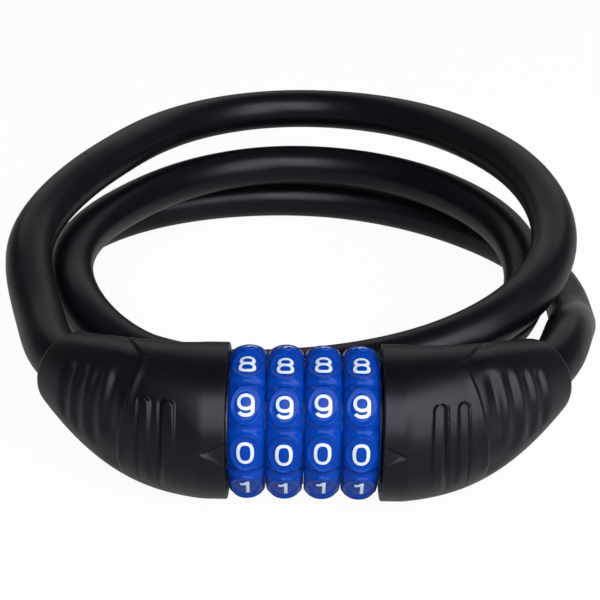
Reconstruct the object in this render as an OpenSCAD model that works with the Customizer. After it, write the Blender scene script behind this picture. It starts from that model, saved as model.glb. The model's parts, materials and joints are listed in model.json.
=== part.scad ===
// Combination cable lock: four number dials between two bent rubber covers,
// and one thick sheathed steel cable that runs from cover to cover in a coil.
// X runs along the barrel, with the plug side at +X. Z is up. The origin is on the
// barrel's axis, in the middle of the dials. The coil lies behind the barrel, at +Y.

/* [Dials] */
// Diameter over the crown of a dial
dial_d = 34; // [33:0.2:35]
// Distance from one dial to the next
dial_pitch = 8.2; // [7.8:0.1:9]
// Gap between two neighbouring dials
dial_gap = 0.3; // [0.25:0.05:0.6]
// Diameter of the hub on a dial's side that closes the gap to the next dial
dial_hub_d = 29; // [27:0.5:29.5]
// Clearance between a hub and the next dial
hub_gap = 0.1; // [0.08:0.01:0.15]
// How much lower the edge of a dial is than its crown
dial_crown = 1.9; // [1.2:0.1:1.9]
// Depth of the finger grooves between the numbers
grip_depth = 0.7; // [0.3:0.1:0.9]
// Radius of the round cutter that makes a finger groove
grip_r = 1.6; // [1.2:0.1:2]
// Turn of the index marks from the top of the barrel to its front
index_turn = 82.5; // [60:0.5:90]
// Diameter of the bore in a dial
dial_bore = 22.8; // [22.4:0.1:23.2]
// Depth of the keyways inside a dial
keyway_depth = 1.2; // [1:0.1:1.4]
// Width of a keyway inside a dial
keyway_w = 2.4; // [2:0.1:2.8]
// Width of the turned relief inside a dial, where the keys come free
relief_w = 2.3; // [2:0.1:2.6]

/* [Clutch rings] */
// Length of a clutch ring along the barrel
ring_w = 6.4; // [6.2:0.1:6.5]
// How far a ring stands towards -X from the middle of its dial
ring_offset = 1.2; // [1:0.1:1.3]
// Thickness of the web that blocks the plug's teeth
web_w = 2.4; // [2.2:0.1:2.6]
// Width of the gate that lets a tooth through
gate_w = 3.4; // [3.3:0.1:3.6]
// Length of the keys on a ring, along the barrel
key_w = 1.2; // [1:0.1:1.25]
// Running clearance between turned pieces, on the radius
running_gap = 0.1; // [0.08:0.01:0.15]
// How far the rings slide when the code is being changed
reset_travel = 1.4; // [1.3:0.05:1.5]

/* [Core tube and plug] */
// Outside diameter of the slotted core tube
tube_od = 14; // [13.8:0.1:14.2]
// Bore of the core tube
tube_id = 10; // [9.6:0.1:10.2]
// Length of the tube's end that the lock insert holds
tube_hold = 3; // [2.8:0.1:3.2]
// Width of the tooth channel along the top of the tube
slot_w = 3.2; // [3:0.1:3.3]
// Clearance between the plug's pin and the tube, on the radius
pin_gap = 0.3; // [0.2:0.05:0.4]
// Length of a tooth on the plug's pin
tooth_w = 1.6; // [1.4:0.1:1.8]
// Height of a tooth above the outside of the tube
tooth_h = 1.4; // [1.2:0.1:1.6]
// Clearance around a tooth
tooth_gap = 0.3; // [0.2:0.05:0.4]
// Diameter of the roll pins
roll_pin_d = 2.5; // [2:0.1:3]

/* [Springs] */
// Thickness of a detent leaf
leaf_t = 0.3; // [0.2:0.05:0.4]
// Width of a detent leaf
leaf_w = 1.6; // [1.4:0.1:1.8]
// Height of the bow of a detent leaf
leaf_rise = 1.4; // [1.2:0.1:1.5]
// Wire of the clutch spring
spring_wire = 0.9; // [0.7:0.1:1]
// Turns in the clutch spring
spring_turns = 2; // [2:0.5:2.5]
// Length of the room for the clutch spring
spring_room = 5; // [4.6:0.1:5.4]

/* [Reset collar] */
// Diameter of the collar's flange
collar_d = 26.4; // [25:0.2:27]
// Thickness of the collar's flange
collar_t = 1.2; // [1:0.1:1.4]
// Thickness of the cam washer
washer_t = 0.8; // [0.7:0.1:0.9]
// Thickness of the retaining ring
clip_t = 0.8; // [0.7:0.1:0.9]

/* [Covers] */
// How far the covers stand proud of the dials, on the radius
cover_proud = 0.4; // [0.3:0.05:0.6]
// Wall of the rubber covers
cover_wall = 2.1; // [1.8:0.1:2.4]
// Gap between the dials and the cover on the lock side
lock_gap = 0.2; // [0.2:0.05:0.5]
// Gap between the dials and the cover on the plug side
plug_gap = 0.6; // [0.5:0.05:1]
// Straight length of a cover, from the dials to where it starts to bend
cover_straight = 4.6; // [4:0.1:7]
// How far the mouth of a cover lies beyond the start of its bend
mouth_reach = 33.6; // [32:0.1:36]
// How far the mouth lies behind the barrel's axis
mouth_back = 17.5; // [16.5:0.1:19]
// How far the mouth lies above the barrel's axis
mouth_rise = 3; // [2:0.1:3.4]
// Turn of a cover from the barrel's axis to the mouth
mouth_turn = 48; // [46:1:50]
// Wall of a cover at its mouth
mouth_wall = 2.9; // [2.4:0.1:3.2]
// Depth of the flats that the covers rest on
flat_depth = 0.2; // [0.15:0.05:0.3]
// Height of the raised grip ribs
rib_h = 0.6; // [0.4:0.1:0.8]
// Depth of the index marks next to the dials
index_depth = 0.4; // [0.3:0.1:0.6]
// Distance from the point of an index mark to the start of the bend
index_end = 0.2; // [0.1:0.1:1]
// Width of the index marks next to the dials
index_w = 5; // [4:0.5:6]

/* [Cable] */
// Outside diameter of the cable
cable_d = 12; // [11:0.1:12.1]
// Wall of the cable's plastic sheath
sheath_wall = 2.8; // [2:0.1:2.8]
// Diameter of the steel rope in the sheath
rope_d = 6; // [4:0.1:6.1]
// Gap between the cable and the mouth of a cover, on the radius
mouth_gap = 0.3; // [0.2:0.05:0.5]
// Radius of the cable's bend at a mouth
lead_r = 36; // [35:0.5:38]
// Turn of the barrel's axis to the ferrule's axis
ferrule_turn = 38; // [37:1:40]
// Upward tilt of the ferrule's axis
ferrule_tilt = 6; // [4:0.5:7]
// Depth to which the cable sits in a ferrule
ferrule_depth = 12; // [11:0.5:13]
// Wall of a ferrule
ferrule_wall = 1; // [0.8:0.1:1.2]
// Diameter of the shank that holds a ferrule in its insert
shank_d = 8; // [7:0.2:9]
// Length of a ferrule's shank
shank_l = 8; // [6:0.5:9]
// Gap between the end of the plug's pin and the ferrule's shank
pin_end_gap = 0.5; // [0.3:0.1:1]

/* [Hidden] */

$fn = 96;
dials = 4;
digits = 10;
digit_turn = 360 / digits;
sliver = 0.05;

// radii
dial_r = dial_d / 2;
hub_r = dial_hub_d / 2;
bore_r = dial_bore / 2;
keyway_r = bore_r + keyway_depth;
ring_r = bore_r - running_gap;
key_r = keyway_r - running_gap;
tube_r = tube_od / 2;
tube_bore_r = tube_id / 2;
ring_bore_r = tube_r + running_gap;
pin_r = tube_bore_r - pin_gap;
tooth_r = tube_r + tooth_h;
recess_r = tooth_r + 2 * tooth_gap;
roll_pin_r = roll_pin_d / 2;
roll_hole_r = roll_pin_r + 0.02;
cover_r = dial_r + cover_proud;
cover_bore_r = cover_r - cover_wall;
insert_r = cover_bore_r - running_gap;
cable_r = cable_d / 2;
sheath_bore_r = cable_r - sheath_wall;
rope_r = rope_d / 2;
mouth_r = cable_r + mouth_gap + mouth_wall;
ferrule_bore_r = cable_r + sliver;
ferrule_r = ferrule_bore_r + ferrule_wall;
shank_r = shank_d / 2;
collar_r = collar_d / 2;
floor_z = flat_depth - cover_r;

// places along the barrel
dial_w = dial_pitch - dial_gap;
hub_h = dial_gap - hub_gap;
stack_end = dials * dial_pitch / 2;
lock_face = -stack_end - lock_gap;
plug_face = stack_end + plug_gap;
function dial_x(n) = (n - (dials + 1) / 2) * dial_pitch;
function ring_x(n) = dial_x(n) - ring_offset - ring_w / 2;
first_ring_end = ring_x(1);
last_ring_end = ring_x(dials) + ring_w;
recess_w = ring_w - web_w;
key_start = 0.35;
relief_start = key_start - sliver - relief_w;
detent_x = 0.1;
spring_pocket = first_ring_end - spring_room;
tube_start = spring_pocket - tube_hold;
tube_pin_x = spring_pocket - tube_hold / 2;
washer_x = last_ring_end + 0.2;
nose_h = reset_travel - 0.1;
collar_x = washer_x + washer_t + nose_h + 0.1;
collar_hub = 0.4;
collar_end = collar_x + collar_hub + collar_t;
clip_x = collar_end + 0.4;
tube_end = clip_x + clip_t + 0.8;
plug_pocket = tube_end + 0.8;
collar_pocket_r = collar_r + 0.4;
pin_start = spring_pocket + 0.8;
insert_web = 1.2;
insert_neck = plug_pocket + insert_web;
bend_start = stack_end + cover_straight;
neck_r = insert_r - 3.7;

// the mouth and the cable near it, worked out for the plug side and mirrored for the lock side
mouth = [bend_start + mouth_reach, mouth_back, mouth_rise];
lead_turn = 75;
lead_climb = 0.5;
function on_lead(turn) = [
    mouth[0] + lead_r * (sin(turn) - sin(mouth_turn)),
    mouth[1] + lead_r * (cos(mouth_turn) - cos(turn)),
    mouth[2] + (turn < mouth_turn
        ? lead_r * (turn - mouth_turn) * PI / 180 * tan(ferrule_tilt)
        : lead_climb * (turn - mouth_turn) / (lead_turn - mouth_turn))
];
ferrule_dir = [
    cos(ferrule_turn) * cos(ferrule_tilt),
    sin(ferrule_turn) * cos(ferrule_tilt),
    sin(ferrule_tilt)
];
cable_end = on_lead(ferrule_turn) - ferrule_depth * ferrule_dir;
ferrule_floor = 2;
shank_face = cable_end - ferrule_floor * ferrule_dir;
shank_end = shank_face - shank_l * ferrule_dir;
pin_end = shank_end[0] - shank_r * sin(ferrule_turn) - pin_end_gap;
plug_pin_x = (plug_pocket + pin_end) / 2;
insert_end = pin_end + 0.2;
shank_screw_r = 1.5;
shank_screw_at = shank_l / 2;

// the coil: reach from its centre and lift above the floor, at every eighth of a turn,
// starting at the lock side and going round behind the lock
coil_centre = [-5, 67];
coil_step = 45;
coil = [
    [67.5, 21], [75.5, 28], [107, 27.5], [85, 30], [69, 23], [54, 16], [39, 8], [46.5, 8],
    [56.5, 12.5], [72.5, 13], [92.5, 13.5], [81, 12.5], [61, 6], [39.5, 1.5], [27, 0],
    [31.5, 0], [52.5, 0], [89.5, 0], [98, 0], [89.5, 0], [75.5, 1.5]
];
loop_start = 5;
loop_end = 890;
ring_turn = 15;
cable_sides = 12;
rope_sides = 8;

function unit(v) = v / norm(v);
function smooth(t) = t * t * (3 - 2 * t);
function spline(a, b, c, d, t) =
    (2 * b + (c - a) * t + (2 * a - 5 * b + 4 * c - d) * t * t
    + (3 * b - a - 3 * c + d) * t * t * t) / 2;
function bezier(a, b, c, d, t) =
    pow(1 - t, 3) * a + 3 * t * pow(1 - t, 2) * b + 3 * t * t * (1 - t) * c + pow(t, 3) * d;
function flip(p) = [-p[0], p[1], p[2]];
function backwards(list) = [for (i = [len(list) - 1:-1:0]) list[i]];

// reach and lift of the coil at a turn angle
function station(i) =
    i < 0 ? 2 * coil[0] - coil[1]
    : i >= len(coil) ? 2 * coil[len(coil) - 1] - coil[len(coil) - 2]
    : coil[i];
function coil_at(turn) =
    let (i = min(floor(turn / coil_step), len(coil) - 2))
    spline(station(i - 1), station(i), station(i + 1), station(i + 2), turn / coil_step - i);
function loop_point(turn) =
    let (c = coil_at(turn))
    [
        coil_centre[0] - c[0] * cos(turn),
        coil_centre[1] + c[0] * sin(turn),
        floor_z + cable_r + c[1]
    ];
function loop_dir(turn) = unit(loop_point(turn + 0.01) - loop_point(turn));

// the cable from the ferrule of a plug-side cover to a little past the mouth
lead_turns = [ferrule_turn, (ferrule_turn + mouth_turn) / 2, mouth_turn, mouth_turn + 9,
    mouth_turn + 18, lead_turn];
lead = concat(
    [cable_end, cable_end + ferrule_depth / 2 * ferrule_dir],
    [for (a = lead_turns) on_lead(a)]
);
lead_dir = unit(on_lead(lead_turn) - on_lead(lead_turn - 1));
lead_end = on_lead(lead_turn);
function link(from, from_dir, to, to_dir) =
    let (reach = norm(to - from) / 3)
    [for (i = [1:4]) bezier(from, from + reach * from_dir, to - reach * to_dir, to, i / 5)];
cable_path = concat(
    [for (p = lead) flip(p)],
    link(flip(lead_end), flip(lead_dir), loop_point(loop_start), loop_dir(loop_start)),
    [for (a = [loop_start:ring_turn:loop_end]) loop_point(a)],
    link(loop_point(loop_end), loop_dir(loop_end), lead_end, -lead_dir),
    backwards(lead)
);

// how close the cable comes to itself, from surface to surface
function path_length(p, i = 1) = i >= len(p) ? 0 : norm(p[i] - p[i - 1]) + path_length(p, i + 1);
apart = ceil(180 / ring_turn);
least_gap = min([
    for (i = [0:len(cable_path) - 1 - apart], j = [i + apart:len(cable_path) - 1], k = [0:4])
        let (q = j + 1 < len(cable_path) ? cable_path[j + 1] : cable_path[j])
        norm(cable_path[i] - (cable_path[j] * (4 - k) + q * k) / 4)
]) - cable_d;
echo(cable_length = path_length(cable_path), least_gap = least_gap);

// points of a ring around a path point, square to the direction of travel
function tube_ring(p, dir, r, sides) =
    let (across = unit(cross([0, 0, 1], dir)), up = cross(dir, across))
    [for (k = [0:sides - 1])
        let (a = 360 * (k + 0.5) / sides)
        p + r * (cos(a) * across - sin(a) * up)];
function path_dir(path, i) =
    i == 0 ? unit(path[1] - path[0])
    : i == len(path) - 1 ? unit(path[i] - path[i - 1])
    : unit(unit(path[i + 1] - path[i]) + unit(path[i] - path[i - 1]));
function skin_faces(rings, sides, base = 0, inward = false) = [
    for (i = [0:rings - 2], k = [0:sides - 1])
        let (
            a = base + i * sides + k,
            b = base + i * sides + (k + 1) % sides,
            c = a + sides,
            d = b + sides
        )
        each (inward ? [[a, c, b], [b, c, d]] : [[a, b, c], [b, d, c]])
];
function annulus_faces(outer, inner, sides, reversed) = [
    for (k = [0:sides - 1])
        let (
            a = outer + k, b = outer + (k + 1) % sides,
            c = inner + k, d = inner + (k + 1) % sides
        )
        each (reversed ? [[a, c, b], [b, c, d]] : [[a, b, c], [b, d, c]])
];
function disc_faces(first, sides, reversed) = [
    for (k = [1:sides - 2])
        reversed ? [first, first + k + 1, first + k] : [first, first + k, first + k + 1]
];

module swept_rod(path, r, sides) {
    points = [for (i = [0:len(path) - 1]) each tube_ring(path[i], path_dir(path, i), r, sides)];
    polyhedron(points, concat(
        skin_faces(len(path), sides),
        disc_faces(0, sides, true),
        disc_faces((len(path) - 1) * sides, sides, false)
    ));
}

module swept_tube(path, r, bore, sides) {
    rings = len(path);
    outer = [for (i = [0:rings - 1]) each tube_ring(path[i], path_dir(path, i), r, sides)];
    inner = [for (i = [0:rings - 1]) each tube_ring(path[i], path_dir(path, i), bore, sides)];
    last = (rings - 1) * sides;
    polyhedron(concat(outer, inner), concat(
        skin_faces(rings, sides),
        skin_faces(rings, sides, len(outer), true),
        annulus_faces(0, len(outer), sides, true),
        annulus_faces(last, len(outer) + last, sides, false)
    ));
}

// a solid of revolution about the barrel's axis, from [x, radius] points
module turned(profile) {
    rotate([0, 90, 0]) rotate_extrude() polygon([for (p = profile) [p[1], p[0]]]);
}
module rod_x(x1, x2, r) {
    translate([x1, 0, 0]) rotate([0, 90, 0]) cylinder(h = x2 - x1, r = r);
}
module bushing_x(x1, x2, r, bore) {
    difference() {
        rod_x(x1, x2, r);
        rod_x(x1 - 1, x2 + 1, bore);
    }
}
// a channel along the top of the barrel, from the axis up to a radius
module top_channel(x1, x2, w, r) {
    translate([x1, -w / 2, 0]) cube([x2 - x1, w, r]);
}

// ---- dials

crown_steps = 8;
function crown_drop(t) = dial_crown * pow(2 * t - 1, 2);
module dial(n) {
    x = dial_x(n);
    low = x - dial_w / 2;
    high = x + dial_w / 2;
    outer = [for (i = [0:crown_steps])
        [low + dial_w * i / crown_steps, dial_r - crown_drop(i / crown_steps)]];
    color("royalblue") difference() {
        turned(concat(
            [[low, bore_r]], outer, [[high, hub_r], [high + hub_h, hub_r], [high + hub_h, bore_r]],
            [
                [x + relief_start + relief_w, bore_r], [x + relief_start + relief_w, keyway_r],
                [x + relief_start, keyway_r], [x + relief_start, bore_r]
            ]
        ));
        for (i = [0:digits - 1]) {
            rotate([digit_turn * i, 0, 0])
                translate([x + relief_start + relief_w - sliver, -keyway_w / 2, bore_r - 1])
                cube([dial_w, keyway_w, 1 + keyway_depth]);
            rotate([index_turn + digit_turn * (i + 0.5), 0, 0])
                translate([low - 1, 0, dial_r + grip_r - grip_depth])
                rotate([0, 90, 0]) cylinder(h = dial_w + 2, r = grip_r, $fn = 32);
        }
    }
}

// ---- clutch

detent_groove_r = 1.3;
keys = 5;
module clutch_ring(n) {
    x = ring_x(n);
    end = x + ring_w;
    web = x + recess_w;
    key = dial_x(n) + key_start;
    color("silver") difference() {
        union() {
            turned([[x, recess_r], [x, ring_r], [end, ring_r], [end, ring_bore_r],
                [web, ring_bore_r], [web, recess_r]]);
            intersection() {
                bushing_x(key, key + key_w, key_r, ring_r - 1);
                for (i = [0:keys - 1]) rotate([360 / keys * i, 0, 0])
                    translate([key, running_gap - keyway_w / 2, 0])
                    cube([key_w, keyway_w - 2 * running_gap, key_r]);
            }
        }
        top_channel(web - 1, end + 1, gate_w, recess_r);
        for (i = [1:digits - 1]) rotate([digit_turn * i, 0, 0])
            translate([web - 1, 0, ring_bore_r - 0.25])
            rotate([0, 90, 0]) cylinder(h = web_w + 2, r = detent_groove_r, $fn = 24);
    }
}

leaf_l = 5.2;
leaf_seat = 5.85;
pocket_gap = 0.2;
leaf_steps = 12;
function leaf_bow(t) = leaf_rise * (1 - cos(360 * t)) / 2;
module detent_spring(n) {
    x = dial_x(n) + detent_x - leaf_l / 2;
    color("gainsboro") translate([0, leaf_w / 2, 0]) rotate([90, 0, 0]) linear_extrude(leaf_w)
        polygon(concat(
            [for (i = [0:leaf_steps])
                [x + leaf_l * i / leaf_steps, -leaf_seat - leaf_bow(i / leaf_steps)]],
            [for (i = [leaf_steps:-1:0])
                [x + leaf_l * i / leaf_steps, -leaf_seat - leaf_t - leaf_bow(i / leaf_steps)]]
        ));
}

spring_clear = 0.1;
spring_r = tube_r + 0.6 + spring_wire / 2;
spring_steps = 12;
module clutch_spring() {
    wire_r = spring_wire / 2;
    from = spring_pocket + spring_clear + wire_r;
    span = first_ring_end - spring_clear - wire_r - from;
    count = spring_turns * spring_steps;
    path = [for (i = [0:count])
        let (a = 360 * i / spring_steps)
        [from + span * i / count, spring_r * cos(a), spring_r * sin(a)]];
    color("gainsboro") wire_tube(path, wire_r, 6);
}
// a round wire whose rings are set by the barrel's axis, which it winds round
module wire_tube(path, r, sides) {
    points = [for (i = [0:len(path) - 1])
        let (
            dir = path_dir(path, i),
            out = unit(cross(dir, [1, 0, 0])),
            side = cross(out, dir)
        )
        each [for (k = [0:sides - 1]) path[i] + r * (cos(360 * k / sides) * out
            + sin(360 * k / sides) * side)]];
    polyhedron(points, concat(
        skin_faces(len(path), sides),
        disc_faces(0, sides, true),
        disc_faces((len(path) - 1) * sides, sides, false)
    ));
}

// ---- core tube, reset collar and plug

key_depth = 0.9;
washer_key_w = 1.6;
// the groove along the front of the tube that keeps the cam washer from turning
module washer_key(x1, x2, low_r, high_r, w) {
    rotate([90, 0, 0]) translate([x1, -w / 2, low_r]) cube([x2 - x1, w, high_r - low_r]);
}

module core_tube() {
    color("silver") difference() {
        bushing_x(tube_start, tube_end, tube_r, tube_bore_r);
        top_channel(pin_start - 0.5, tube_end + 1, slot_w, tube_r + 1);
        for (n = [1:dials])
            translate([
                dial_x(n) + detent_x - leaf_l / 2 - pocket_gap,
                -leaf_w / 2 - pocket_gap,
                -tube_r - 1
            ])
            cube([leaf_l + 2 * pocket_gap, leaf_w + 2 * pocket_gap, tube_r + 1 - leaf_seat + sliver]);
        bushing_x(clip_x - sliver, clip_x + clip_t + sliver, tube_r + 1, clip_bore_r);
        washer_key(washer_x - reset_travel - 0.3, tube_end + 1, tube_r - key_depth, tube_r + 1,
            washer_key_w + 0.2);
        translate([tube_pin_x, 0, 0]) rotate([90, 0, 0])
            cylinder(h = tube_od + 2, r = roll_hole_r, center = true);
    }
}
clip_bore_r = tube_r - 0.7;
clip_gap = 4.4;
module retaining_ring() {
    color("dimgray") difference() {
        bushing_x(clip_x, clip_x + clip_t, tube_r + 1.6, clip_bore_r + sliver);
        top_channel(clip_x - 1, clip_x + clip_t + 1, clip_gap, collar_r);
    }
}

nose_turn = 10;
nose_r = ring_r - 1.6;
// two short noses at opposite sides, from a face at x up or down to a height
module cam_noses(x1, x2, at) {
    intersection() {
        bushing_x(x1, x2, nose_r, ring_bore_r + 0.2);
        for (side = [0, 180]) rotate([at + side, 0, 0])
            translate([x1, -nose_r * sin(nose_turn / 2), 0])
            cube([x2 - x1, 2 * nose_r * sin(nose_turn / 2), nose_r]);
    }
}
module cam_washer() {
    color("goldenrod") difference() {
        union() {
            bushing_x(washer_x, washer_x + washer_t, ring_r - 0.3, ring_bore_r);
            cam_noses(washer_x + washer_t - sliver, washer_x + washer_t + nose_h, 45);
            washer_key(washer_x, washer_x + washer_t, tube_r - key_depth + 0.1, ring_bore_r + 1,
                washer_key_w);
        }
        top_channel(washer_x - 1, washer_x + washer_t + 1, gate_w, recess_r);
    }
}
coin_slots = 12;
module reset_collar() {
    color("goldenrod") difference() {
        union() {
            bushing_x(collar_x, collar_x + collar_hub + sliver, nose_r, ring_bore_r);
            bushing_x(collar_x + collar_hub, collar_end, collar_r, ring_bore_r);
            cam_noses(collar_x - nose_h, collar_x + sliver, -45);
        }
        top_channel(collar_x - 1, collar_end + 1, gate_w, recess_r);
        for (i = [0:coin_slots - 1]) rotate([360 * (i + 0.5) / coin_slots, 0, 0])
            translate([collar_x, 0, collar_r + 0.6])
            rotate([0, 90, 0]) cylinder(h = 4, r = 1.2, $fn = 24);
    }
}

nose_cone = 2;
module plug_pin() {
    color("silver") difference() {
        union() {
            turned([[pin_start, 0], [pin_start, pin_r - nose_cone / 2],
                [pin_start + nose_cone, pin_r], [pin_end, pin_r], [pin_end, 0]]);
            intersection() {
                rod_x(first_ring_end, stack_end, tooth_r);
                for (n = [1:dials])
                    translate([ring_x(n) + tooth_gap + 0.2, tooth_gap - slot_w / 2, 0])
                    cube([tooth_w, slot_w - 2 * tooth_gap, tooth_r]);
            }
        }
        translate([plug_pin_x, 0, 0]) rotate([90, 0, 0])
            cylinder(h = tube_od, r = roll_hole_r, center = true);
    }
}
roll_pin_l = 18;
module roll_pin(x) {
    color("dimgray") translate([x, 0, 0]) rotate([90, 0, 0]) difference() {
        cylinder(h = roll_pin_l, r = roll_pin_r, center = true, $fn = 32);
        cylinder(h = roll_pin_l + 2, r = roll_pin_r / 2, center = true, $fn = 32);
    }
}

// ---- inserts, ferrules and their screws, made for the plug side

// puts a piece that is drawn along +Z, from 0 up, on the ferrule's axis
module on_ferrule_axis(at) {
    translate(at) rotate([0, 0, ferrule_turn]) rotate([0, 90 - ferrule_tilt, 0]) children();
}
boss_r = shank_r + 3;
boss_l = shank_l + 4;
module insert_body(face, pocket, pocket_r, hub_bore, hub_end) {
    difference() {
        union() {
            turned([[face, 0], [face, insert_r], [bend_start - 0.6, insert_r],
                [insert_neck, insert_r - insert_web], [insert_neck, 0]]);
            rod_x(insert_neck - sliver, insert_end, neck_r);
            on_ferrule_axis(shank_face - boss_l * ferrule_dir) cylinder(h = boss_l, r = boss_r);
        }
        rod_x(face - 1, pocket, pocket_r);
        rod_x(pocket - 1, hub_end, hub_bore);
        on_ferrule_axis(shank_face - shank_l * ferrule_dir)
            cylinder(h = shank_l + 1, r = shank_r + 0.05);
        on_ferrule_axis(shank_face - (shank_l - shank_screw_at) * ferrule_dir)
            rotate([0, -90, 0]) cylinder(h = boss_r + 10, r = shank_screw_r + 0.05, $fn = 32);
    }
}
module roll_pin_hole(x) {
    translate([x, 0, 0]) rotate([90, 0, 0])
        cylinder(h = roll_pin_l + 0.4, r = roll_hole_r, center = true);
}
module lock_insert() {
    color("slategray") difference() {
        mirror([1, 0, 0]) insert_body(-lock_face + 0.2, -spring_pocket, ring_r + 0.3,
            tube_r + 0.02, -tube_start + 0.1);
        roll_pin_hole(tube_pin_x);
    }
}
module plug_insert() {
    color("slategray") difference() {
        insert_body(plug_face + 0.2, plug_pocket, collar_pocket_r, pin_r + 0.02, pin_end + 0.1);
        roll_pin_hole(plug_pin_x);
    }
}
crimps = 3;
crimp_w = 1.2;
crimp_depth = 0.4;
module ferrule() {
    length = ferrule_depth + ferrule_floor;
    on_ferrule_axis(shank_face) rotate_extrude() polygon(concat(
        [
            [0, -shank_l], [shank_r, -shank_l], [shank_r, 0], [ferrule_r, 0]
        ],
        [for (i = [1:crimps])
            let (z = ferrule_floor + ferrule_depth * i / (crimps + 1))
            each [[ferrule_r, z - crimp_w], [ferrule_r - crimp_depth, z - crimp_w / 2],
                [ferrule_r - crimp_depth, z + crimp_w / 2], [ferrule_r, z + crimp_w]]],
        [
            [ferrule_r, length], [ferrule_bore_r, length],
            [ferrule_bore_r, ferrule_floor], [0, ferrule_floor]
        ]
    ));
}
module left_ferrule() {
    color("gainsboro") mirror([1, 0, 0]) ferrule();
}
module right_ferrule() {
    color("gainsboro") ferrule();
}
// grub screw that presses on the shank from above
screw_socket = 1.5;
module ferrule_screw() {
    height = boss_r - shank_r - 0.4;
    on_ferrule_axis(shank_face - (shank_l - shank_screw_at) * ferrule_dir)
        rotate([0, -90, 0]) translate([0, 0, shank_r + sliver]) difference() {
            cylinder(h = height, r = shank_screw_r, $fn = 32);
            translate([0, 0, height - screw_socket])
                cylinder(h = screw_socket + 1, r = 0.9, $fn = 6);
        }
}
module left_ferrule_screw() {
    color("dimgray") mirror([1, 0, 0]) ferrule_screw();
}
module right_ferrule_screw() {
    color("dimgray") ferrule_screw();
}

// ---- covers, made for the plug side

// half width and half height of a cover along its bend, t from 0 at the barrel to 1
function half_width(t) = cover_r - (cover_r - mouth_r) * pow(t, 0.8);
function half_height(t) = cover_r - (cover_r - mouth_r) * pow(t, 2.85);
function wall_at(t) = cover_wall + (mouth_wall - cover_wall) * pow(t, 8);
mouth_dir = [cos(mouth_turn), sin(mouth_turn)];
bend_from = [bend_start, 0];
bend_to = [mouth[0], mouth[1]];
bend_reach = norm(bend_to - bend_from);
function bend_axis(t) = bezier(bend_from, bend_from + 0.28 * bend_reach * [1, 0],
    bend_to - 0.5 * bend_reach * mouth_dir, bend_to, t);
bend_steps = 40;
bend_run = [for (i = 0, run = 0; i <= bend_steps;
    run = run + norm(bend_axis((i + 1) / bend_steps) - bend_axis(i / bend_steps)), i = i + 1) run];
bend_length = bend_run[bend_steps];
function bend_share(run) = lookup(run, [for (i = [0:bend_steps]) [bend_run[i], i / bend_steps]]);

// grip ribs on the outside of the bend: distance along the bend, lean, low and high end
rib_w = 2.2;
ribs = [[5.7, 0, -35, 42], [9.6, 0, -12, 38], [13.4, -1.6, 0, 66], [18.6, 0, -25, 52],
    [22.8, 0, -22, 48], [27, 0, -18, 44]];
rib_half = rib_w / 2;
rib_fade = 10;
cover_stations = concat(
    [0, 2.4],
    [for (run = [4.2:0.75:30]) run],
    [32, 35, bend_length]
);
cover_sides = 32;
bore_sides = 24;
bore_rings = 10;
function rib_lift(run, a) = max([for (r = ribs)
    let (
        across = abs(run - r[0] - r[1] * (a - r[2]) / (r[3] - r[2])) / rib_half,
        along = min(a - r[2], r[3] - a) / rib_fade
    )
    rib_h * min(1, max(0, 1.5 * (1 - across))) * min(1, max(0, along))]);
function bend_point(t, a, wide, high) =
    let (
        step = bend_axis(t + 0.001) - bend_axis(t - 0.001),
        dir = step / norm(step),
        p = bend_axis(t) + wide * cos(a) * [dir[1], -dir[0]]
    )
    [p[0], p[1], max(floor_z + sliver, mouth_rise * t * t + high * sin(a))];
// the bent part of a cover: a hair thinner than the straight part's end, which it starts inside
module horn() {
    points = [for (run = cover_stations)
        let (t = bend_share(run))
        each [for (k = [0:cover_sides - 1])
            let (
                a = 360 * k / cover_sides,
                lift = rib_lift(run, a > 180 ? a - 360 : a) - sliver
            )
            bend_point(t, a, half_width(t) + lift, half_height(t) + lift)]];
    last = len(cover_stations) - 1;
    polyhedron(points, concat(
        skin_faces(last + 1, cover_sides),
        disc_faces(0, cover_sides, true),
        disc_faces(last * cover_sides, cover_sides, false)
    ));
}
// the bore of the bent part: a hair wider than the straight part's bore, and open past both ends
bore_start = 0.02;
bore_shares = concat([-bore_start, bore_start], [for (i = [1:bore_rings]) 1.02 * i / bore_rings]);
module horn_bore() {
    flat_grow = 1 / cos(180 / bore_sides);
    last = len(bore_shares) - 1;
    points = [for (t = bore_shares)
        let (u = max(0, min(1, (t - bore_start) / (1 - bore_start))))
        each [for (k = [0:bore_sides - 1])
            bend_point(t, 360 * k / bore_sides,
                (half_width(u) - wall_at(u) + sliver) * flat_grow,
                (half_height(u) - wall_at(u) + sliver) * flat_grow)]];
    polyhedron(points, concat(
        skin_faces(last + 1, bore_sides),
        disc_faces(0, bore_sides, true),
        disc_faces(last * bore_sides, bore_sides, false)
    ));
}
cover_chamfer = 0.3;
module cover(face) {
    color([0.13, 0.13, 0.15]) {
        difference() {
            turned([[face, cover_bore_r], [face, cover_r - cover_chamfer],
                [face + cover_chamfer, cover_r], [bend_start + sliver, cover_r],
                [bend_start + sliver, cover_bore_r]]);
            translate([0, -cover_r, -cover_r - 1])
                cube([bend_start + 1, 2 * cover_r, 1 + cover_r + floor_z]);
            rotate([index_turn, 0, 0])
                translate([0, 0, cover_r - index_depth]) linear_extrude(index_depth + 1)
                polygon([[face - 1, -index_w / 2], [face, -index_w / 2],
                    [bend_start - index_end, 0], [face, index_w / 2], [face - 1, index_w / 2]]);
        }
        difference() {
            horn();
            horn_bore();
        }
    }
}
module left_cover() {
    mirror([1, 0, 0]) cover(-lock_face);
}
module right_cover() {
    cover(plug_face);
}

// ---- cable

module cable_sheath() {
    color([0.1, 0.1, 0.12]) swept_tube(cable_path, cable_r, sheath_bore_r, cable_sides);
}
module cable_core() {
    color("gray") swept_rod(cable_path, rope_r, rope_sides);
}

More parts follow.
